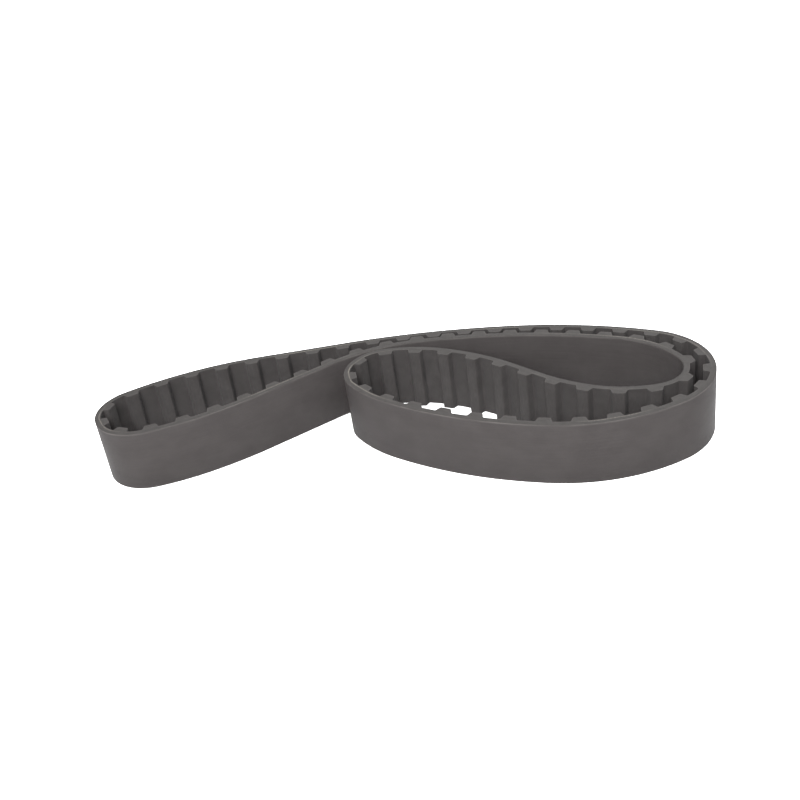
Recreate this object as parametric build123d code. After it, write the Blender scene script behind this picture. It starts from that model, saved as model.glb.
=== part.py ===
from build123d import *
import os
from math import cos, radians, sin, tan

import numpy

# An endless timing belt that lies on one edge, folded into a loose coil.
# +Z is up, Z = 0 is the surface that the edge rests on, and the origin is the middle of the footprint.
# Every layer of the belt follows one closed line in plan, the pitch line, which is the middle of its cords.

# Belt section: trapezoidal teeth of 3/8 inch pitch on a belt 3/4 inch wide (mm)
pitch = 9.525
tooth_count = 68
belt_width = 19.05
belt_thickness = 3.6
tooth_height = 1.91
tooth_root_width = 4.65
tooth_tip_round = 0.5
flank_angle = 20
pitch_line_to_land = 0.381
cord_thickness = 0.45
cord_count = 12

# Flex gap: the slit between two rigid spans, which leaves them room to turn about the pitch line
flex_gap = 0.4

# Drawing tolerances: a shorter stretch of a bend is left out, ends this close are already joined, and a
# vertex this close to a corner is that corner. An end lies this far inside its own bend.
shortest_edge = 0.001
joined_ends = 1e-5
corner_reach = 0.01
end_inset = 1e-9

# The laid belt, followed clockwise from the middle of its rear strand with the teeth on the right.
# A run is straight, and its length is worked out so that the belt closes at its real length.
# A bend is a radius and a turn in degrees, negative to the right. The last bend's turn closes the coil.
start = (-41.0, 30.55)
start_heading = 1.5
first_land = 2.6
RUN = None
course = [
    RUN,
    (217, -14.2),       # rear strand, behind the coil
    (131, -18.5),
    (21, -125),         # right end
    (52, -41.8),
    (116, -23.4),       # front strand
    (42.5, -21.8),
    (11.2, -119.8),     # left end of the front loop
    (38.5, -24.8),
    (68, -20.6),
    RUN,                # the strand that crosses the coil
    (54.5, 16.6),
    (33, 34.1),
    (10.7, 105.9),      # right end inside the coil
    (27, 43.9),
    (150, 23.9),        # inner strand, its teeth in the gaps of the rear strand
    (50, 32.6),
    RUN,                # front strand of the left loop
    (122, -8.8),
    (74, -12.8),
    (12.8, -86.3),      # left end
    (11.3, -75.2),
    (100, None),
]

# Spans from one land to another, counted along the belt. The belt flexes where one span ends and the
# next begins, except at the solid lands, where they meet face to face.
spans = {
    "rear_run": (3, 11),
    "right_bend": (11, 18),
    "front_run": (18, 24),
    "front_shoulder": (24, 27),
    "loop_bend": (27, 30),
    "cross_run": (30, 36),
    "cross_bend": (36, 39),
    "inner_bend": (39, 44),
    "inner_run": (44, 49),
    "inner_end": (49, 53),
    "left_front_run": (53, 58),
    "left_lower_bend": (58, 61),
    "left_bend": (61, 64),
    "left_shoulder": (64, 66),
    "left_rear_run": (66, 71),
}
solid_lands = (11, 44, 49)

# Heights above the pitch line, positive towards the teeth
belt_length = pitch * tooth_count
tip = pitch_line_to_land + tooth_height
back = tip - belt_thickness
cord_side = cord_thickness / 2
facing_thickness = pitch_line_to_land - cord_side

# Half widths of a tooth with its facing, and of its rubber core
flank_run = tan(radians(flank_angle))
half_root = tooth_root_width / 2
half_tip = half_root - tooth_height * flank_run
facing_inset = facing_thickness / cos(radians(flank_angle))
core_tip = tip - facing_thickness
core_half_root = half_root + facing_thickness * flank_run - facing_inset
core_half_tip = half_tip + facing_thickness * flank_run - facing_inset


def step(heading, radius, turn):
    """The move, as (x, y), made by a bend that starts at this heading."""
    side = radius if turn > 0 else -radius
    end = heading + turn
    return (
        side * (sin(radians(end)) - sin(radians(heading))),
        side * (cos(radians(heading)) - cos(radians(end))),
    )


def closed_course():
    """The course as (length, heading, radius, turn, x, y) pieces, with its runs and last turn worked out."""
    last_turn = -360 - sum(piece[1] for piece in course[:-1] if piece)
    bends = [piece and (piece[0], piece[1] or last_turn) for piece in course]
    heading = start_heading
    run_headings = []
    move_x = move_y = bend_length = 0
    for bend in bends:
        if bend is RUN:
            run_headings.append(radians(heading))
            continue
        move = step(heading, *bend)
        move_x += move[0]
        move_y += move[1]
        bend_length += bend[0] * radians(abs(bend[1]))
        heading += bend[1]
    sums = [[cos(h) for h in run_headings], [sin(h) for h in run_headings], [1, 1, 1]]
    runs = list(numpy.linalg.solve(sums, [-move_x, -move_y, belt_length - bend_length]))

    pieces = []
    heading = start_heading
    x, y = start
    for bend in bends:
        if bend is RUN:
            length = float(runs.pop(0))
            pieces.append((length, heading, None, 0, x, y))
            x += length * cos(radians(heading))
            y += length * sin(radians(heading))
            continue
        radius, turn = bend
        pieces.append((radius * radians(abs(turn)), heading, radius, turn, x, y))
        move = step(heading, radius, turn)
        x += move[0]
        y += move[1]
        heading += turn
    return pieces


pieces = closed_course()


def place(distance):
    """The point and heading of the pitch line at a distance along the belt."""
    distance %= belt_length
    for length, heading, radius, turn, x, y in pieces:
        if distance <= length:
            break
        distance -= length
    if radius is None:
        return x + distance * cos(radians(heading)), y + distance * sin(radians(heading)), heading
    part_turn = turn * distance / length
    move = step(heading, radius, part_turn) if part_turn else (0, 0)
    return x + move[0], y + move[1], heading + part_turn


def beside(distance, height, ahead=0):
    """A point at a height towards the teeth, and moved ahead along the belt's local direction."""
    x, y, heading = place(distance)
    c, s = cos(radians(heading)), sin(radians(heading))
    return Vector(x + ahead * c + height * s, y + ahead * s - height * c)


def follow(first, last, height):
    """Edges along the belt at one height, a line for each run and an arc for each bend."""
    edges = []
    lap = 0
    while lap * belt_length < last:
        begin = lap * belt_length
        for length, _, radius, *_ in pieces:
            low, high = max(first, begin), min(last, begin + length)
            begin += length
            if high - low < shortest_edge:
                continue
            ends = beside(low + end_inset, height), beside(high - end_inset, height)
            if radius is None:
                edges.append(Edge.make_line(*ends))
            else:
                middle = beside((low + high) / 2, height)
                edges.append(Edge.make_three_point_arc(ends[0], middle, ends[1]))
        lap += 1
    return edges


def outline(edges):
    """A face inside edges that follow each other in order, closed where they leave small gaps."""
    joined = []
    for edge, following in zip(edges, edges[1:] + edges[:1]):
        joined.append(edge)
        if (edge @ 1 - following @ 0).length > joined_ends:
            joined.append(Edge.make_line(edge @ 1, following @ 0))
    return Face(Wire(joined))


def reverse(edges):
    """The same edges in the other direction."""
    turned = []
    for edge in reversed(edges):
        if edge.geom_type == GeomType.LINE:
            turned.append(Edge.make_line(edge @ 1, edge @ 0))
        else:
            turned.append(Edge.make_three_point_arc(edge @ 1, edge @ 0.5, edge @ 0))
    return turned


def strip(first, last, low, high):
    """A face between two heights, from one distance along the belt to another."""
    return outline(follow(first, last, low) + reverse(follow(first, last, high)))


def tooth_corners(centre, half_width, height, half_top, top):
    """Root, tip, tip and root of a tooth: its roots lie on the curved belt, its tips keep their width."""
    return [
        beside(centre - half_width, height),
        beside(centre, top, -half_top),
        beside(centre, top, half_top),
        beside(centre + half_width, height),
    ]


def rounded(face, corners, radius):
    """The face with the named corners rounded."""
    near = [v for v in face.vertices() if any((Vector(v) - c).length < corner_reach for c in corners)]
    return face.fillet_2d(radius, near)


def toothed_edges(first, last, centres, half_width, height, half_top, top):
    """Edges along the belt at one height that go up and over each tooth."""
    edges = []
    here = first
    for centre in centres:
        edges += follow(here, centre - half_width, height)
        corners = tooth_corners(centre, half_width, height, half_top, top)
        edges += [Edge.make_line(a, b) for a, b in zip(corners, corners[1:])]
        here = centre + half_width
    return edges + follow(here, last, height)


def upright(face, bottom=0, height=belt_width):
    """The face raised into a solid."""
    return Solid.extrude(face.moved(Location((0, 0, bottom))), Vector(0, 0, height))


def cords(first, last):
    """The tension cords, side by side across the belt's width."""
    spacing = belt_width / cord_count
    section = strip(first, last, -cord_side, cord_side)
    bottoms = [spacing * (i + 0.5) - cord_side for i in range(cord_count)]
    return [upright(section, bottom, cord_thickness) for bottom in bottoms]


def backing(first, last, cord_solids):
    """The rubber back, with a groove for each cord."""
    return upright(strip(first, last, back, cord_side)).cut(*cord_solids)


def teeth(centres):
    """The rubber cores of the teeth."""
    solids = []
    for centre in centres:
        corners = tooth_corners(centre, core_half_root, cord_side, core_half_tip, core_tip)
        flanks = [Edge.make_line(a, b) for a, b in zip(corners, corners[1:])]
        base = follow(centre - core_half_root, centre + core_half_root, cord_side)
        face = outline(flanks + reverse(base))
        solids.append(upright(rounded(face, corners[1:3], tooth_tip_round - facing_thickness)))
    return solids


def facing(first, last, centres):
    """The fabric facing, over the teeth and the lands between them."""
    inner = toothed_edges(first, last, centres, core_half_root, cord_side, core_half_tip, core_tip)
    outer = toothed_edges(first, last, centres, half_root, pitch_line_to_land, half_tip, tip)
    face = outline(inner + reverse(outer))
    inner_tips = []
    outer_tips = []
    for centre in centres:
        inner_tips += tooth_corners(centre, core_half_root, cord_side, core_half_tip, core_tip)[1:3]
        outer_tips += tooth_corners(centre, half_root, pitch_line_to_land, half_tip, tip)[1:3]
    face = rounded(face, outer_tips, tooth_tip_round)
    return upright(rounded(face, inner_tips, tooth_tip_round - facing_thickness))


def save(node, solids):
    """Write one node's solids to its file."""
    shape = solids[0] if len(solids) == 1 else Compound(solids)
    export_step(shape, f"parts/{node}.step")


os.makedirs("parts", exist_ok=True)
for name, (first_index, last_index) in spans.items():
    first = first_land + first_index * pitch
    last = first_land + last_index * pitch
    centres = [first + (i + 0.5) * pitch for i in range(last_index - first_index)]
    if first_index not in solid_lands:
        first += flex_gap / 2
    if last_index not in solid_lands:
        last -= flex_gap / 2
    cord_solids = cords(first, last)
    save(f"cords_{name}", cord_solids)
    save(f"backing_{name}", backing(first, last, cord_solids).solids())
    save(f"teeth_{name}", teeth(centres))
    save(f"facing_{name}", [facing(first, last, centres)])
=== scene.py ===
from math import cos, floor, pi, radians, sin, tan

import bpy
from mathutils import Matrix, Vector


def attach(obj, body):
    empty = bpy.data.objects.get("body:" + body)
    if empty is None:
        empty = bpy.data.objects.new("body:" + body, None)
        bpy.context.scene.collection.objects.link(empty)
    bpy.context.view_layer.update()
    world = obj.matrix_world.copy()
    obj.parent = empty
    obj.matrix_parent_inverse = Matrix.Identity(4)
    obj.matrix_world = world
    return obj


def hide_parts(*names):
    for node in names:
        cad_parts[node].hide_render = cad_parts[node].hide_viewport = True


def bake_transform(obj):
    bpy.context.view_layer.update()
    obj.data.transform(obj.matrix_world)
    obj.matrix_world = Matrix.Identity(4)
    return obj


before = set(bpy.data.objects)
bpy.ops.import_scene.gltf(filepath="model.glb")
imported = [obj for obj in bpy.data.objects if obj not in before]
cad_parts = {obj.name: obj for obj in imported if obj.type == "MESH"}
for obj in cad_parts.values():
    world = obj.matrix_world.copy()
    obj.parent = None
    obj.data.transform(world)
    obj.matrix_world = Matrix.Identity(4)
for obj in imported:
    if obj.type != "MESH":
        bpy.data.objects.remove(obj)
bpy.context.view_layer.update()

# The belt's section, in metres. Heights are measured from the pitch line, positive towards the teeth.
PITCH = 0.009525
TEETH = 68
WIDTH = 0.01905
THICKNESS = 0.0036
TOOTH_HEIGHT = 0.00191
HALF_ROOT = 0.002325
FLANK_ANGLE = radians(20)
FLANK_RUN = tan(FLANK_ANGLE)
FLANK_EXTRA = 1 / cos(FLANK_ANGLE) - FLANK_RUN
LAND = 0.000381
FACING = 0.000156
TIP = LAND + TOOTH_HEIGHT
BACK = THICKNESS - TIP
TIP_ROUND = 0.0005
ROOT_ROUND = 0.0004
RIM_ROUND = 0.00007
CORDS = 12
CORD_RADIUS = 0.00021
MM = 0.001

# At the opened land two bodies meet with no joint between them, and a round core lies just under the surface
# there.
OPENED_LAND = 53
CORE_INSET = 0.00001

# How closely places are compared and welded, and the cuts that let a straight pitch follow a bend
CLOSE = 0.01 * MM
WELD = 0.002 * MM
BACK_CUTS = 39
LAND_CUTS = 7
CORD_STEPS = 8

# The guide that bends the mouldings: degrees of turn in each of its arcs, steps along each, and how many
# of the first bends it takes again, for the stretch that passes the end of the lap
ARC_TURN = 20
GUIDE_STEPS = 48
SECOND_LAP = 5

# The laid belt's course: a run is straight, a bend is a radius in metres and a turn in degrees.
START = (-0.0410, 0.03055)
START_HEADING = 1.5
FIRST_LAND = 0.0026
RUN = None
COURSE = [
    RUN, (0.217, -14.2), (0.131, -18.5), (0.021, -125), (0.052, -41.8), (0.116, -23.4),
    (0.0425, -21.8), (0.0112, -119.8), (0.0385, -24.8), (0.068, -20.6), RUN, (0.0545, 16.6),
    (0.033, 34.1), (0.0107, 105.9), (0.027, 43.9), (0.150, 23.9), (0.050, 32.6), RUN,
    (0.122, -8.8), (0.074, -12.8), (0.0128, -86.3), (0.0113, -75.2), (0.100, None),
]

# Stretches of belt: name, first and last land, the land between its two bodies (None for a stretch on one),
# the bodies that it lies on in order along the belt, and the spans of the frame that it stands for. A
# stretch with no such land rides on its first body.
STRETCHES = [
    ("left_front_root", 53, 55, None, ["left_front_run"], ["left_front_run"]),
    ("left_front", 55, 59, 58, ["left_front_run", "left_lower_bend"],
     ["left_front_run", "left_lower_bend"]),
    ("left_lower_bend", 59, 62, 61, ["left_lower_bend", "left_bend"], ["left_lower_bend", "left_bend"]),
    ("left_bend", 62, 65, 64, ["left_bend", "left_shoulder"], ["left_bend", "left_shoulder"]),
    ("left_shoulder", 65, 68, 66, ["left_shoulder", "left_rear_run"], ["left_shoulder", "left_rear_run"]),
    ("rear", 68, 79, 71, ["left_rear_run", "rear_strand"], ["left_rear_run", "rear_run"]),
    ("right_bend", 11, 21, 18, ["rear_strand", "front_run"], ["right_bend", "front_run"]),
    ("front", 21, 25, 24, ["front_run", "front_shoulder"], ["front_run", "front_shoulder"]),
    ("front_shoulder", 25, 28, 27, ["front_shoulder", "loop_bend"], ["front_shoulder", "loop_bend"]),
    ("loop_bend", 28, 33, 30, ["loop_bend", "cross_run"], ["loop_bend", "cross_run"]),
    ("cross_run", 33, 37, 36, ["cross_run", "cross_bend"], ["cross_run", "cross_bend"]),
    ("cross_bend", 37, 43, 39, ["cross_bend", "inner_strand"], ["cross_bend", "inner_bend"]),
    ("inner", 43, 53, None, ["inner_strand"], ["inner_bend", "inner_run", "inner_end"]),
]


# ---- The course of the belt -----------------------------------------------------------------

def bend_move(heading, radius, turn):
    """The move, as (x, y), along a bend that starts at this heading in degrees."""
    side = radius if turn > 0 else -radius
    end = radians(heading + turn)
    return side * (sin(end) - sin(radians(heading))), side * (cos(radians(heading)) - cos(end))


def solve_three(rows, sums):
    """The three unknowns of three linear equations."""
    whole = Matrix(rows)
    answers = []
    for i in range(3):
        swapped = whole.copy()
        for row in range(3):
            swapped[row][i] = sums[row]
        answers.append(swapped.determinant() / whole.determinant())
    return answers


def lay_course():
    """The course as (length, heading, radius, turn, x, y), closed at the belt's real length."""
    last_turn = -360 - sum(bend[1] for bend in COURSE[:-1] if bend)
    bends = [bend and (bend[0], bend[1] or last_turn) for bend in COURSE]
    heading = START_HEADING
    directions = []
    x = y = length = 0
    for bend in bends:
        if bend is RUN:
            directions.append(radians(heading))
            continue
        move = bend_move(heading, *bend)
        x, y = x + move[0], y + move[1]
        length += bend[0] * radians(abs(bend[1]))
        heading += bend[1]
    rows = [[cos(d) for d in directions], [sin(d) for d in directions], [1, 1, 1]]
    runs = solve_three(rows, [-x, -y, PITCH * TEETH - length])
    laid = []
    heading = START_HEADING
    x, y = START
    for bend in bends:
        if bend is RUN:
            run = runs.pop(0)
            laid.append((run, heading, None, 0, x, y))
            move = run * cos(radians(heading)), run * sin(radians(heading))
        else:
            laid.append((bend[0] * radians(abs(bend[1])), heading, *bend, x, y))
            move = bend_move(heading, *bend)
            heading += bend[1]
        x, y = x + move[0], y + move[1]
    return laid


LAID = lay_course()


def bend_at(distance):
    """The piece of the course at a distance along the belt, and how far into it that is."""
    distance %= PITCH * TEETH
    for piece in LAID:
        if distance <= piece[0]:
            break
        distance -= piece[0]
    return piece, distance


def place(distance):
    """The point of the pitch line and its direction at a distance along the belt."""
    (length, heading, radius, turn, x, y), into = bend_at(distance)
    direction = radians(heading + turn * into / length)
    move = (into * cos(direction), into * sin(direction))
    if radius and into:
        move = bend_move(heading, radius, turn * into / length)
    return Vector((x + move[0], y + move[1], 0)), Vector((cos(direction), sin(direction), 0))


def tip_spread(distance):
    """How much wider a straight tooth's tip is made, so that the bend there brings it back to size."""
    (_, _, radius, turn, _, _), _ = bend_at(distance)
    if radius is None:
        return 1
    return 1 / (1 + (TIP if turn > 0 else -TIP) / radius)


def belt_guide():
    """The pitch line as a Bezier curve, a little over a lap long, that bends the straight mouldings."""
    curve = bpy.data.curves.new("pitch_line", "CURVE")
    curve.dimensions = "3D"
    curve.twist_mode = "Z_UP"
    curve.resolution_u = GUIDE_STEPS
    knots = []
    for length, heading, radius, turn, x, y in LAID + LAID[:SECOND_LAP]:
        parts = max(1, int(abs(turn) // ARC_TURN))
        # The handles' reach is a third of a straight, or the usual fit of a Bezier to an arc.
        reach = length / 3 if radius is None else 4 / 3 * tan(radians(abs(turn)) / parts / 4) * radius
        for i in range(parts):
            angle = radians(heading + turn * i / parts)
            move = bend_move(heading, radius, turn * i / parts) if i else (0, 0)
            knots.append((Vector((x + move[0], y + move[1], 0)), Vector((cos(angle), sin(angle), 0)), reach))
    spline = curve.splines.new("BEZIER")
    spline.bezier_points.add(len(knots) - 1)
    before = knots[0][2]
    for knot, (point, direction, reach) in zip(spline.bezier_points, knots):
        knot.handle_left_type = knot.handle_right_type = "FREE"
        knot.co = point
        knot.handle_left = point - direction * before
        knot.handle_right = point + direction * reach
        before = reach
    guide = bpy.data.objects.new("pitch_line", curve)
    bpy.context.collection.objects.link(guide)
    return guide


# ---- Bench tools ----------------------------------------------------------------------------

def only(obj):
    """Select one object alone and make it active."""
    bpy.ops.object.select_all(action="DESELECT")
    obj.select_set(True)
    bpy.context.view_layer.objects.active = obj


def pick(obj, kind, wanted):
    """In edit mode, select only the vertices, edges or faces that pass a test."""
    bpy.ops.mesh.select_mode(type=kind)
    bpy.ops.mesh.select_all(action="DESELECT")
    bpy.ops.object.mode_set(mode="OBJECT")
    mesh = obj.data
    for part in {"VERT": mesh.vertices, "EDGE": mesh.edges, "FACE": mesh.polygons}[kind]:
        part.select = wanted(part)
    bpy.ops.object.mode_set(mode="EDIT")


def middle(obj):
    """A function that gives the middle of one of the object's edges."""
    def of(edge):
        a, b = edge.vertices
        return (obj.data.vertices[a].co + obj.data.vertices[b].co) / 2
    return of


def near(a, b):
    """True where two lengths agree."""
    return abs(a - b) < CLOSE


def is_rim(face):
    """True for the faces of the belt's two cut sides."""
    return abs(face.normal.z) > 0.9


def is_back(face):
    """True for the faces of the belt's smooth back, and the rounds at its rims."""
    return face.normal.y > 0.1 and not is_rim(face)


def apply(obj, kind, **settings):
    """Add a modifier with these settings and apply it."""
    only(obj)
    modifier = obj.modifiers.new(kind.lower(), kind)
    for name, value in settings.items():
        setattr(modifier, name, value)
    bpy.ops.object.modifier_apply(modifier=modifier.name)


# ---- Straight mouldings, laid along X with the back towards +Y and the teeth towards -Y ----------

def pitch_of_rubber():
    """One tooth with half a land each side, in rubber, open at both ends."""
    bpy.ops.object.select_all(action="DESELECT")
    bpy.ops.mesh.primitive_plane_add(size=1)
    rubber = bpy.context.object
    rubber.name = "pitch_of_rubber"
    centre = middle(rubber)
    land = LAND - FACING
    inset = FACING / cos(FLANK_ANGLE) - FACING * FLANK_RUN
    half_root = HALF_ROOT - inset
    half_tip = HALF_ROOT - TOOTH_HEIGHT * FLANK_RUN - inset
    bpy.ops.object.mode_set(mode="EDIT")
    bpy.ops.transform.resize(value=(PITCH, BACK + land, 1))
    bpy.ops.transform.translate(value=(0, (BACK - land) / 2, 0))
    for side in (-1, 1):
        bpy.ops.mesh.select_all(action="SELECT")
        bpy.ops.mesh.bisect(plane_co=(side * half_root, 0, 0), plane_no=(1, 0, 0))
    pick(rubber, "EDGE", lambda e: near(centre(e).y, -land) and near(centre(e).x, 0))
    bpy.ops.mesh.extrude_region_move(TRANSFORM_OT_translate={"value": (0, -TOOTH_HEIGHT, 0)})
    bpy.ops.transform.resize(value=(half_tip / half_root, 1, 1))
    bpy.ops.mesh.select_all(action="SELECT")
    bpy.ops.mesh.dissolve_faces()
    pick(rubber, "VERT", lambda v: near(v.co.y, BACK) and abs(v.co.x) < PITCH / 3)
    bpy.ops.mesh.dissolve_verts()
    # Where a round starts, as a share of its radius from a corner of the tooth
    corner_start = 0.7
    pick(rubber, "VERT", lambda v: near(v.co.y, -land - TOOTH_HEIGHT))
    bpy.ops.mesh.bevel(affect="VERTICES", offset=corner_start * (TIP_ROUND - FACING), segments=4)
    pick(rubber, "VERT", lambda v: near(v.co.y, -land) and abs(v.co.x) < PITCH / 3)
    bpy.ops.mesh.bevel(affect="VERTICES", offset=corner_start * (ROOT_ROUND + FACING), segments=5)
    pick(rubber, "EDGE", lambda e: near(centre(e).y, BACK))
    bpy.ops.mesh.subdivide(number_cuts=BACK_CUTS)
    pick(rubber, "EDGE", lambda e: near(centre(e).y, -land) and abs(centre(e).x) > half_root)
    bpy.ops.mesh.subdivide(number_cuts=LAND_CUTS)
    bpy.ops.mesh.select_all(action="SELECT")
    bpy.ops.mesh.extrude_region_move(TRANSFORM_OT_translate={"value": (0, 0, WIDTH)})
    pick(rubber, "FACE", lambda f: near(abs(f.center.x), PITCH / 2))
    bpy.ops.mesh.delete(type="FACE")
    bpy.ops.mesh.select_all(action="SELECT")
    bpy.ops.mesh.normals_make_consistent(inside=False)
    pick(rubber, "EDGE", lambda e: near(centre(e).y, BACK) and not near(centre(e).z, WIDTH / 2))
    bpy.ops.mesh.bevel(affect="EDGES", offset=RIM_ROUND, segments=2)
    bpy.ops.object.mode_set(mode="OBJECT")
    return rubber


def pitch_of_facing(rubber):
    """The sheet of fabric that lies on one tooth and its half lands."""
    only(rubber)
    bpy.ops.object.duplicate()
    sheet = bpy.context.object
    sheet.name = "pitch_of_facing"
    bpy.ops.object.mode_set(mode="EDIT")
    pick(sheet, "FACE", lambda f: is_rim(f) or f.center.y > 0)
    bpy.ops.mesh.delete(type="FACE")
    bpy.ops.object.mode_set(mode="OBJECT")
    return sheet


def row_of(pitch, name, first, last):
    """A row of pitches from one land to another, each welded to the next."""
    only(pitch)
    bpy.ops.object.duplicate()
    row = bpy.context.object
    row.name = name
    apply(row, "ARRAY", count=last - first, use_relative_offset=False, use_constant_offset=True,
          constant_offset_displace=(PITCH, 0, 0), use_merge_vertices=True, merge_threshold=WELD)
    bpy.ops.object.mode_set(mode="EDIT")
    bpy.ops.mesh.select_all(action="SELECT")
    bpy.ops.transform.translate(value=(FIRST_LAND + (first + 0.5) * PITCH, 0, 0))
    for tooth in range(first, last):
        centre = FIRST_LAND + (tooth + 0.5) * PITCH
        pick(row, "VERT", lambda v: v.co.y < -TIP / 2 and abs(v.co.x - centre) < PITCH / 2)
        bpy.ops.transform.resize(value=(tip_spread(centre), 1, 1), center_override=(centre, 0, 0))
    bpy.ops.object.mode_set(mode="OBJECT")
    return row


def close_ends(row):
    """Close the two open ends of a row."""
    only(row)
    bpy.ops.object.mode_set(mode="EDIT")
    bpy.ops.mesh.select_mode(type="EDGE")
    bpy.ops.mesh.select_all(action="SELECT")
    bpy.ops.mesh.fill_holes(sides=0)
    bpy.ops.object.mode_set(mode="OBJECT")


def row_of_cords(name, first, last):
    """Straight tension cords side by side across the belt."""
    bpy.ops.object.select_all(action="DESELECT")
    spacing = WIDTH / CORDS
    halfway = FIRST_LAND + (first + last) * PITCH / 2
    bpy.ops.mesh.primitive_cylinder_add(
        vertices=8, radius=CORD_RADIUS, depth=(last - first) * PITCH, rotation=(0, pi / 2, 0),
        location=(halfway, 0, spacing / 2))
    cords = bpy.context.object
    cords.name = name
    bpy.ops.object.transform_apply(location=True, rotation=True, scale=True)
    centre = middle(cords)
    bpy.ops.object.mode_set(mode="EDIT")
    pick(cords, "EDGE", lambda e: near(centre(e).x, halfway))
    bpy.ops.mesh.subdivide(number_cuts=(last - first) * CORD_STEPS - 1)
    bpy.ops.object.mode_set(mode="OBJECT")
    apply(cords, "ARRAY", count=CORDS, use_relative_offset=False, use_constant_offset=True,
          constant_offset_displace=(0, 0, spacing))
    return cords


def core_of_land(name, land):
    """A round core inside a land, which fills the wedge that opens there when its two sides turn."""
    bpy.ops.object.select_all(action="DESELECT")
    place_in_land = (FIRST_LAND + land * PITCH, 0, WIDTH / 2)
    bpy.ops.mesh.primitive_cylinder_add(
        vertices=96, radius=BACK - CORE_INSET, depth=WIDTH - 2 * CORE_INSET, location=place_in_land)
    core = bpy.context.object
    core.name = name
    bpy.ops.object.transform_apply(location=True, rotation=True, scale=True)
    bpy.ops.object.mode_set(mode="EDIT")
    pick(core, "VERT", lambda v: v.co.y < -CORE_INSET)
    smaller = (LAND - CORE_INSET) / (BACK - CORE_INSET)
    bpy.ops.transform.resize(value=(smaller, smaller, 1), center_override=place_in_land)
    bpy.ops.object.mode_set(mode="OBJECT")
    return core


def lay_pattern(row, along_teeth):
    """Give a straight piece its pattern map in millimetres: along the belt, and across it.

    On a cut side, across is the height from the pitch line. Along the teeth, the map follows the flanks.
    """
    uv = row.data.uv_layers[0] if row.data.uv_layers else row.data.uv_layers.new()
    uv.name = "along_belt"
    per_pitch = PITCH + 2 * FLANK_EXTRA * TOOTH_HEIGHT
    for face in row.data.polygons:
        tooth = floor((face.center.x - FIRST_LAND) / PITCH)
        centre = FIRST_LAND + (tooth + 0.5) * PITCH
        for corner in face.loop_indices:
            point = row.data.vertices[row.data.loops[corner].vertex_index].co
            u = point.x
            if along_teeth and not is_rim(face):
                rise = FLANK_EXTRA * min(TIP + point.y, TOOTH_HEIGHT)
                u = tooth * per_pitch + point.x - centre + (rise if point.x > centre else -rise)
            v = point.y if is_rim(face) else point.z
            uv.data[corner].uv = (u / MM, v / MM)


def finish_piece(row, guide, finish, other=None, is_other=None):
    """Give a straight piece its finish, with another on some faces, then bend it round the pitch line."""
    row.data.materials.clear()
    row.data.materials.append(finish)
    if other:
        row.data.materials.append(other)
        for face in row.data.polygons:
            face.material_index = int(is_other(face))
    apply(row, "CURVE", object=guide, deform_axis="POS_X")
    only(row)
    bpy.ops.object.shade_smooth_by_angle(angle=radians(50))


# ---- Finishes --------------------------------------------------------------------------------

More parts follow.
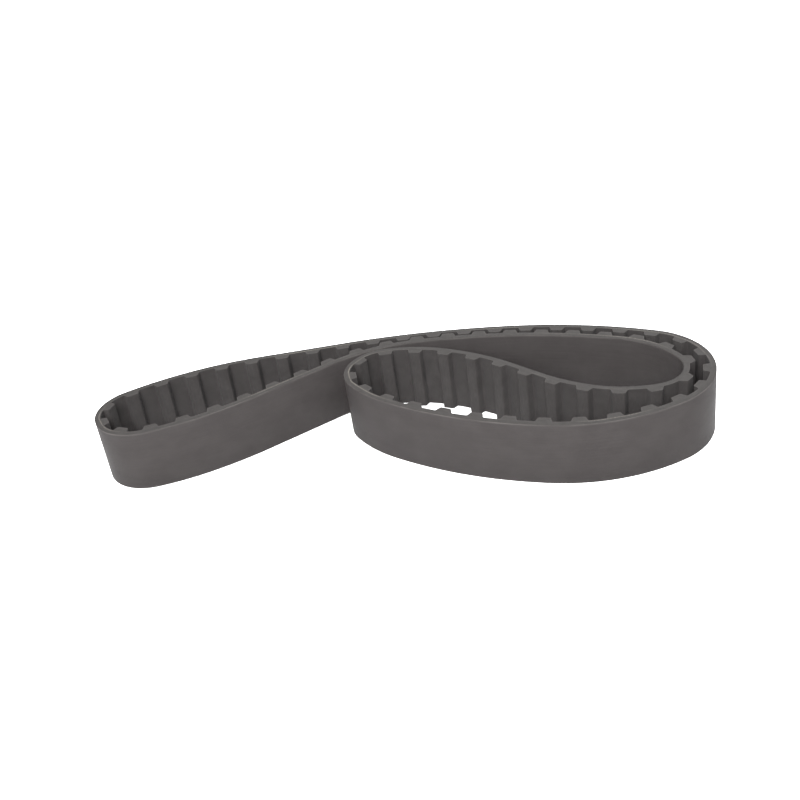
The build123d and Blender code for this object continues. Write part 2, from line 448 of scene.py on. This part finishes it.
class Finish:
    """A material under construction, with its pattern map split into along and across."""

    def __init__(self, name):
        self.material = bpy.data.materials.new(name)
        self.material.use_nodes = True
        self.tree = self.material.node_tree
        self.shader = self.tree.nodes["Principled BSDF"]
        self.map = self.add("ShaderNodeUVMap", uv_map="along_belt").outputs["UV"]
        split = self.add("ShaderNodeSeparateXYZ")
        self.tree.links.new(self.map, split.inputs[0])
        self.along, self.across = split.outputs[0], split.outputs[1]

    def add(self, kind, **settings):
        """Add a node and set its own properties."""
        node = self.tree.nodes.new(kind)
        for name, value in settings.items():
            setattr(node, name, value)
        return node

    def feed(self, socket, value):
        """Link a socket to another one, or set it to a number or colour."""
        if isinstance(value, bpy.types.NodeSocket):
            self.tree.links.new(value, socket)
        else:
            socket.default_value = value

    def math(self, operation, *values, clamp=False):
        """Arithmetic on sockets and numbers."""
        node = self.add("ShaderNodeMath", operation=operation, use_clamp=clamp)
        for socket, value in zip(node.inputs, values):
            self.feed(socket, value)
        return node.outputs[0]

    def noise(self, along, across, detail=3, roughness=0.55, shift=0):
        """Noise with this many lumps per millimetre along and across the belt."""
        mapping = self.add("ShaderNodeMapping")
        self.feed(mapping.inputs["Vector"], self.map)
        mapping.inputs["Scale"].default_value = (along, across, 1)
        mapping.inputs["Location"].default_value = (shift, shift, shift)
        node = self.add("ShaderNodeTexNoise")
        self.feed(node.inputs["Vector"], mapping.outputs[0])
        node.inputs["Scale"].default_value = 1
        node.inputs["Detail"].default_value = detail
        node.inputs["Roughness"].default_value = roughness
        return node.outputs["Fac"]

    def ramp(self, factor, low, high, start=0.35, end=0.65):
        """A colour or grey that goes from low to high as the factor goes from start to end."""
        node = self.add("ShaderNodeValToRGB")
        self.feed(node.inputs[0], factor)
        for element, place_at, value in zip(node.color_ramp.elements, (start, end), (low, high)):
            element.position = place_at
            element.color = (*value, 1) if isinstance(value, tuple) else (value, value, value, 1)
        return node.outputs[0]

    def mix(self, factor, a, b):
        """One colour laid over another, by this much."""
        node = self.add("ShaderNodeMix", data_type="RGBA")
        self.feed(node.inputs[0], factor)
        for socket, value in ((node.inputs[6], a), (node.inputs[7], b)):
            self.feed(socket, (*value, 1) if isinstance(value, tuple) else value)
        return node.outputs[2]

    def bump(self, height, depth, over=None):
        """Raise the surface by a height pattern, its full depth in metres."""
        node = self.add("ShaderNodeBump")
        self.feed(node.inputs["Height"], height)
        node.inputs["Strength"].default_value = 1
        node.inputs["Distance"].default_value = depth
        if over:
            self.feed(node.inputs["Normal"], over)
        return node.outputs[0]

    def fade_out(self, distance, reach):
        """1 at a distance of nothing, fading to 0 at this reach in millimetres."""
        return self.math("SUBTRACT", 1, self.math("DIVIDE", distance, reach), clamp=True)

    def done(self, colour, roughness, normal, specular):
        """Feed the shader, and give the finished material."""
        self.feed(self.shader.inputs["Base Color"], colour)
        self.feed(self.shader.inputs["Roughness"], roughness)
        self.feed(self.shader.inputs["Normal"], normal)
        self.shader.inputs["Specular IOR Level"].default_value = specular
        return self.material


def ground_back():
    """Black rubber ground to thickness: soft mottling, fine grinding lines along it, and rims lighter from
    rub wear together with a painted highlight along each rim.
    """
    f = Finish("ground_back")
    mottle = f.noise(0.11, 0.16, detail=4)
    lines = f.noise(0.06, 5.5, detail=5, roughness=0.7, shift=11)
    grain = f.noise(9, 9, detail=2, shift=5)
    colour = f.ramp(mottle, (0.0186, 0.0165, 0.0164), (0.0233, 0.0210, 0.0207))
    colour = f.mix(0.35, colour, f.ramp(lines, (0.0146, 0.0128, 0.0126), (0.0280, 0.0254, 0.0251)))
    to_rim = f.math("MINIMUM", f.across, f.math("SUBTRACT", WIDTH / MM, f.across))
    # Lighter in patches within 0.6 mm of each rim: partly rub wear, partly a painted highlight along the
    # rim.
    rubbed = f.math("MULTIPLY", f.fade_out(to_rim, 0.6), f.ramp(f.noise(0.12, 2, shift=3), 0.1, 1.0))
    # The pale colour laid on the rims is a painted highlight together with rub wear.
    colour = f.mix(f.math("MULTIPLY", rubbed, 0.6), colour, (0.0700, 0.0655, 0.0620))
    rough = f.ramp(lines, 0.58, 0.74)
    raised = f.bump(grain, 0.03 * MM, f.bump(lines, 0.05 * MM))
    return f.done(colour, rough, raised, 0.09)


def cut_edge():
    """The knife-cut side of the belt: greyer, dragged along, with the winding's cord showing in places."""
    f = Finish("cut_edge")
    drag = f.noise(0.5, 9, detail=4, roughness=0.65, shift=2)
    blotch = f.noise(0.35, 0.8, detail=4, shift=7)
    colour = f.ramp(blotch, (0.0154, 0.0142, 0.0136), (0.0218, 0.0201, 0.0194))
    colour = f.mix(0.4, colour, f.ramp(drag, (0.0119, 0.0109, 0.0104), (0.0278, 0.0258, 0.0248)))
    in_cord = f.fade_out(f.math("ABSOLUTE", f.across), CORD_RADIUS / MM)
    in_cord = f.ramp(in_cord, 0.0, 1.0, 0.05, 0.45)
    strand = f.ramp(f.noise(2.6, 1.2, detail=2, shift=9), 0.15, 1.0, 0.4, 0.6)
    shown = f.ramp(f.noise(0.02, 0.0, detail=1, shift=4), 0.0, 0.5, 0.5, 0.62)
    cord = f.math("MULTIPLY", f.math("MULTIPLY", in_cord, strand), shown)
    colour = f.mix(cord, colour, (0.1426, 0.1302, 0.1116))
    rough = f.ramp(drag, 0.6, 0.82)
    raised = f.bump(blotch, 0.06 * MM, f.bump(drag, 0.05 * MM))
    return f.done(colour, rough, raised, 0.10)


def facing_rim():
    """The cut rim of the fabric: frayed thread ends, a little lighter than the rubber beside it."""
    f = Finish("facing_rim")
    ends = f.noise(5, 9, detail=3, roughness=0.6, shift=13)
    colour = f.ramp(ends, (0.0160, 0.0148, 0.0142), (0.0420, 0.0392, 0.0380))
    return f.done(colour, f.ramp(ends, 0.6, 0.9), f.bump(ends, 0.05 * MM), 0.08)


def woven_facing():
    """Rubber-soaked nylon on the toothed side: a fine plain weave, rubbed lighter on the tooth tips."""
    f = Finish("woven_facing")
    # A thread's width in millimetres
    thread = 0.30
    warp = f.math("SINE", f.math("MULTIPLY", f.along, pi / thread))
    weft = f.math("SINE", f.math("MULTIPLY", f.across, pi / thread))
    crossing = f.math("MULTIPLY", warp, weft)
    cushion = f.math("POWER", f.math("ABSOLUTE", crossing), 0.6)
    soak = f.noise(0.25, 0.25, detail=4, shift=6)
    fuzz = f.noise(7, 7, detail=3, shift=1)
    colour = f.ramp(soak, (0.0208, 0.0189, 0.0186), (0.0277, 0.0255, 0.0251))
    threads = f.ramp(crossing, (0.0160, 0.0150, 0.0146), (0.0384, 0.0357, 0.0352), 0.3, 0.7)
    colour = f.mix(0.22, colour, threads)
    per_pitch = (PITCH + 2 * FLANK_EXTRA * TOOTH_HEIGHT) / MM
    from_tip = f.math("ABSOLUTE", f.math("WRAP", f.along, per_pitch / 2, -per_pitch / 2))
    rubbed = f.math("MULTIPLY", f.fade_out(from_tip, 2.2), f.ramp(f.noise(1.6, 0.7, shift=8), 0.1, 0.9))
    colour = f.mix(f.math("MULTIPLY", rubbed, 0.22), colour, (0.0416, 0.0390, 0.0378))
    height = f.math("ADD", cushion, f.math("MULTIPLY", fuzz, 0.5))
    rough = f.ramp(soak, 0.66, 0.82)
    f.shader.inputs["Sheen Weight"].default_value = 0.02
    f.shader.inputs["Sheen Roughness"].default_value = 0.5
    return f.done(colour, rough, f.bump(height, 0.06 * MM), 0.09)


def glass_cord():
    """Resin-dipped glass cord, its twist showing as slanting strands."""
    f = Finish("glass_cord")
    slant = f.math("ADD", f.math("MULTIPLY", f.along, 5), f.math("MULTIPLY", f.across, 9))
    strands = f.math("SINE", slant)
    colour = f.ramp(strands, (0.28, 0.25, 0.19), (0.52, 0.48, 0.39), 0.2, 0.8)
    return f.done(colour, f.ramp(f.noise(2, 2), 0.4, 0.6), f.bump(strands, 0.03 * MM), 0.4)


# ---- The belt --------------------------------------------------------------------------------

def stand_for(piece, flex, bodies, nodes):
    """Tie a piece to the frame: it rides on one body, or where two bodies meet it is left fixed where it
    lies. The frame's parts that it stands for are hidden.
    """
    if flex is None:
        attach(piece, bodies[0])
    else:
        pivot, direction = place(FIRST_LAND + flex * PITCH)
        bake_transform(piece)
    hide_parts(*nodes)


def make_belt():
    """Every stretch of the belt, in its three layers."""
    guide = belt_guide()
    rubber_pitch = pitch_of_rubber()
    facing_pitch = pitch_of_facing(rubber_pitch)
    back, cut, weave, rim, glass = ground_back(), cut_edge(), woven_facing(), facing_rim(), glass_cord()
    for name, first, last, flex, bodies, spans in STRETCHES:
        rubber = row_of(rubber_pitch, name + "_rubber", first, last)
        close_ends(rubber)
        lay_pattern(rubber, along_teeth=False)
        finish_piece(rubber, guide, cut, back, is_back)
        nodes = [f"{layer}_{span}" for span in spans for layer in ("backing", "teeth")]
        stand_for(rubber, flex, bodies, nodes)

        facing = row_of(facing_pitch, name + "_facing", first, last)
        apply(facing, "SOLIDIFY", thickness=FACING, offset=1, use_even_offset=True)
        lay_pattern(facing, along_teeth=True)
        finish_piece(facing, guide, weave, rim, is_rim)
        stand_for(facing, flex, bodies, [f"facing_{span}" for span in spans])

        cords = row_of_cords(name + "_cords", first, last)
        lay_pattern(cords, along_teeth=False)
        finish_piece(cords, guide, glass)
        stand_for(cords, flex, bodies, [f"cords_{span}" for span in spans])
    core = core_of_land("opened_land_core", OPENED_LAND)
    lay_pattern(core, along_teeth=False)
    finish_piece(core, guide, cut, back, is_back)
    stand_for(core, None, ["inner_strand"], ["backing_inner_end"])
    for tool in (guide, rubber_pitch, facing_pitch):
        bpy.data.objects.remove(tool)


# ---- Floor, light and camera ------------------------------------------------------------------

def make_floor():
    """A plain sheet of white paper."""
    bpy.ops.object.select_all(action="DESELECT")
    bpy.ops.mesh.primitive_plane_add(size=6)
    floor_sheet = bpy.context.object
    floor_sheet.name = "floor"
    paper = bpy.data.materials.new("white_paper")
    paper.use_nodes = True
    shader = paper.node_tree.nodes["Principled BSDF"]
    shader.inputs["Base Color"].default_value = (0.85, 0.845, 0.85, 1)
    shader.inputs["Roughness"].default_value = 0.9
    shader.inputs["Specular IOR Level"].default_value = 0
    floor_sheet.data.materials.append(paper)


def soft_box(name, at, aim, size, power):
    """A square soft light at a place, aimed at another."""
    light = bpy.data.lights.new(name, "AREA")
    light.size = size
    light.energy = power
    lamp = bpy.data.objects.new(name, light)
    lamp.location = at
    lamp.rotation_euler = (Vector(aim) - Vector(at)).to_track_quat("-Z", "Y").to_euler()
    bpy.context.collection.objects.link(lamp)


def light_the_set():
    """A white room, brighter overhead, and two soft boxes."""
    horizon = 1.02
    overhead = 2.4
    world = bpy.data.worlds.new("white_room")
    world.use_nodes = True
    nodes, links = world.node_tree.nodes, world.node_tree.links
    room = nodes.new("ShaderNodeTexCoord")
    height = nodes.new("ShaderNodeSeparateXYZ")
    ceiling = nodes.new("ShaderNodeMapRange")
    ceiling.inputs["To Min"].default_value = horizon
    ceiling.inputs["To Max"].default_value = overhead
    links.new(room.outputs["Generated"], height.inputs[0])
    links.new(height.outputs["Z"], ceiling.inputs["Value"])
    links.new(ceiling.outputs[0], nodes["Background"].inputs["Strength"])
    nodes["Background"].inputs["Color"].default_value = (1, 1, 1, 1)
    bpy.context.scene.world = world
    bpy.context.scene.view_settings.view_transform = "Standard"
    soft_box("high_front", (-0.17, -0.60, 0.64), (0, 0, 0), 0.6, 26)
    soft_box("high_rear", (0.25, 0.60, 0.62), (0, 0, 0), 0.6, 9)


def set_camera():
    """The camera in front of the coil, looking down at it and leaning a little."""
    camera = bpy.data.cameras.new("camera")
    camera.sensor_width = 36
    camera.lens = 48.855
    camera.clip_start = 0.01
    stand = bpy.data.objects.new("camera", camera)
    look_down = 31.377
    lean = 8.578
    stand.matrix_world = (
        Matrix.Translation((0.000525, -0.267505, 0.178333))
        @ Matrix.Rotation(radians(90 - look_down), 4, "X")
        @ Matrix.Rotation(radians(-lean), 4, "Z"))
    bpy.context.collection.objects.link(stand)
    bpy.context.scene.camera = stand


set_camera()
make_belt()
make_floor()
light_the_set()
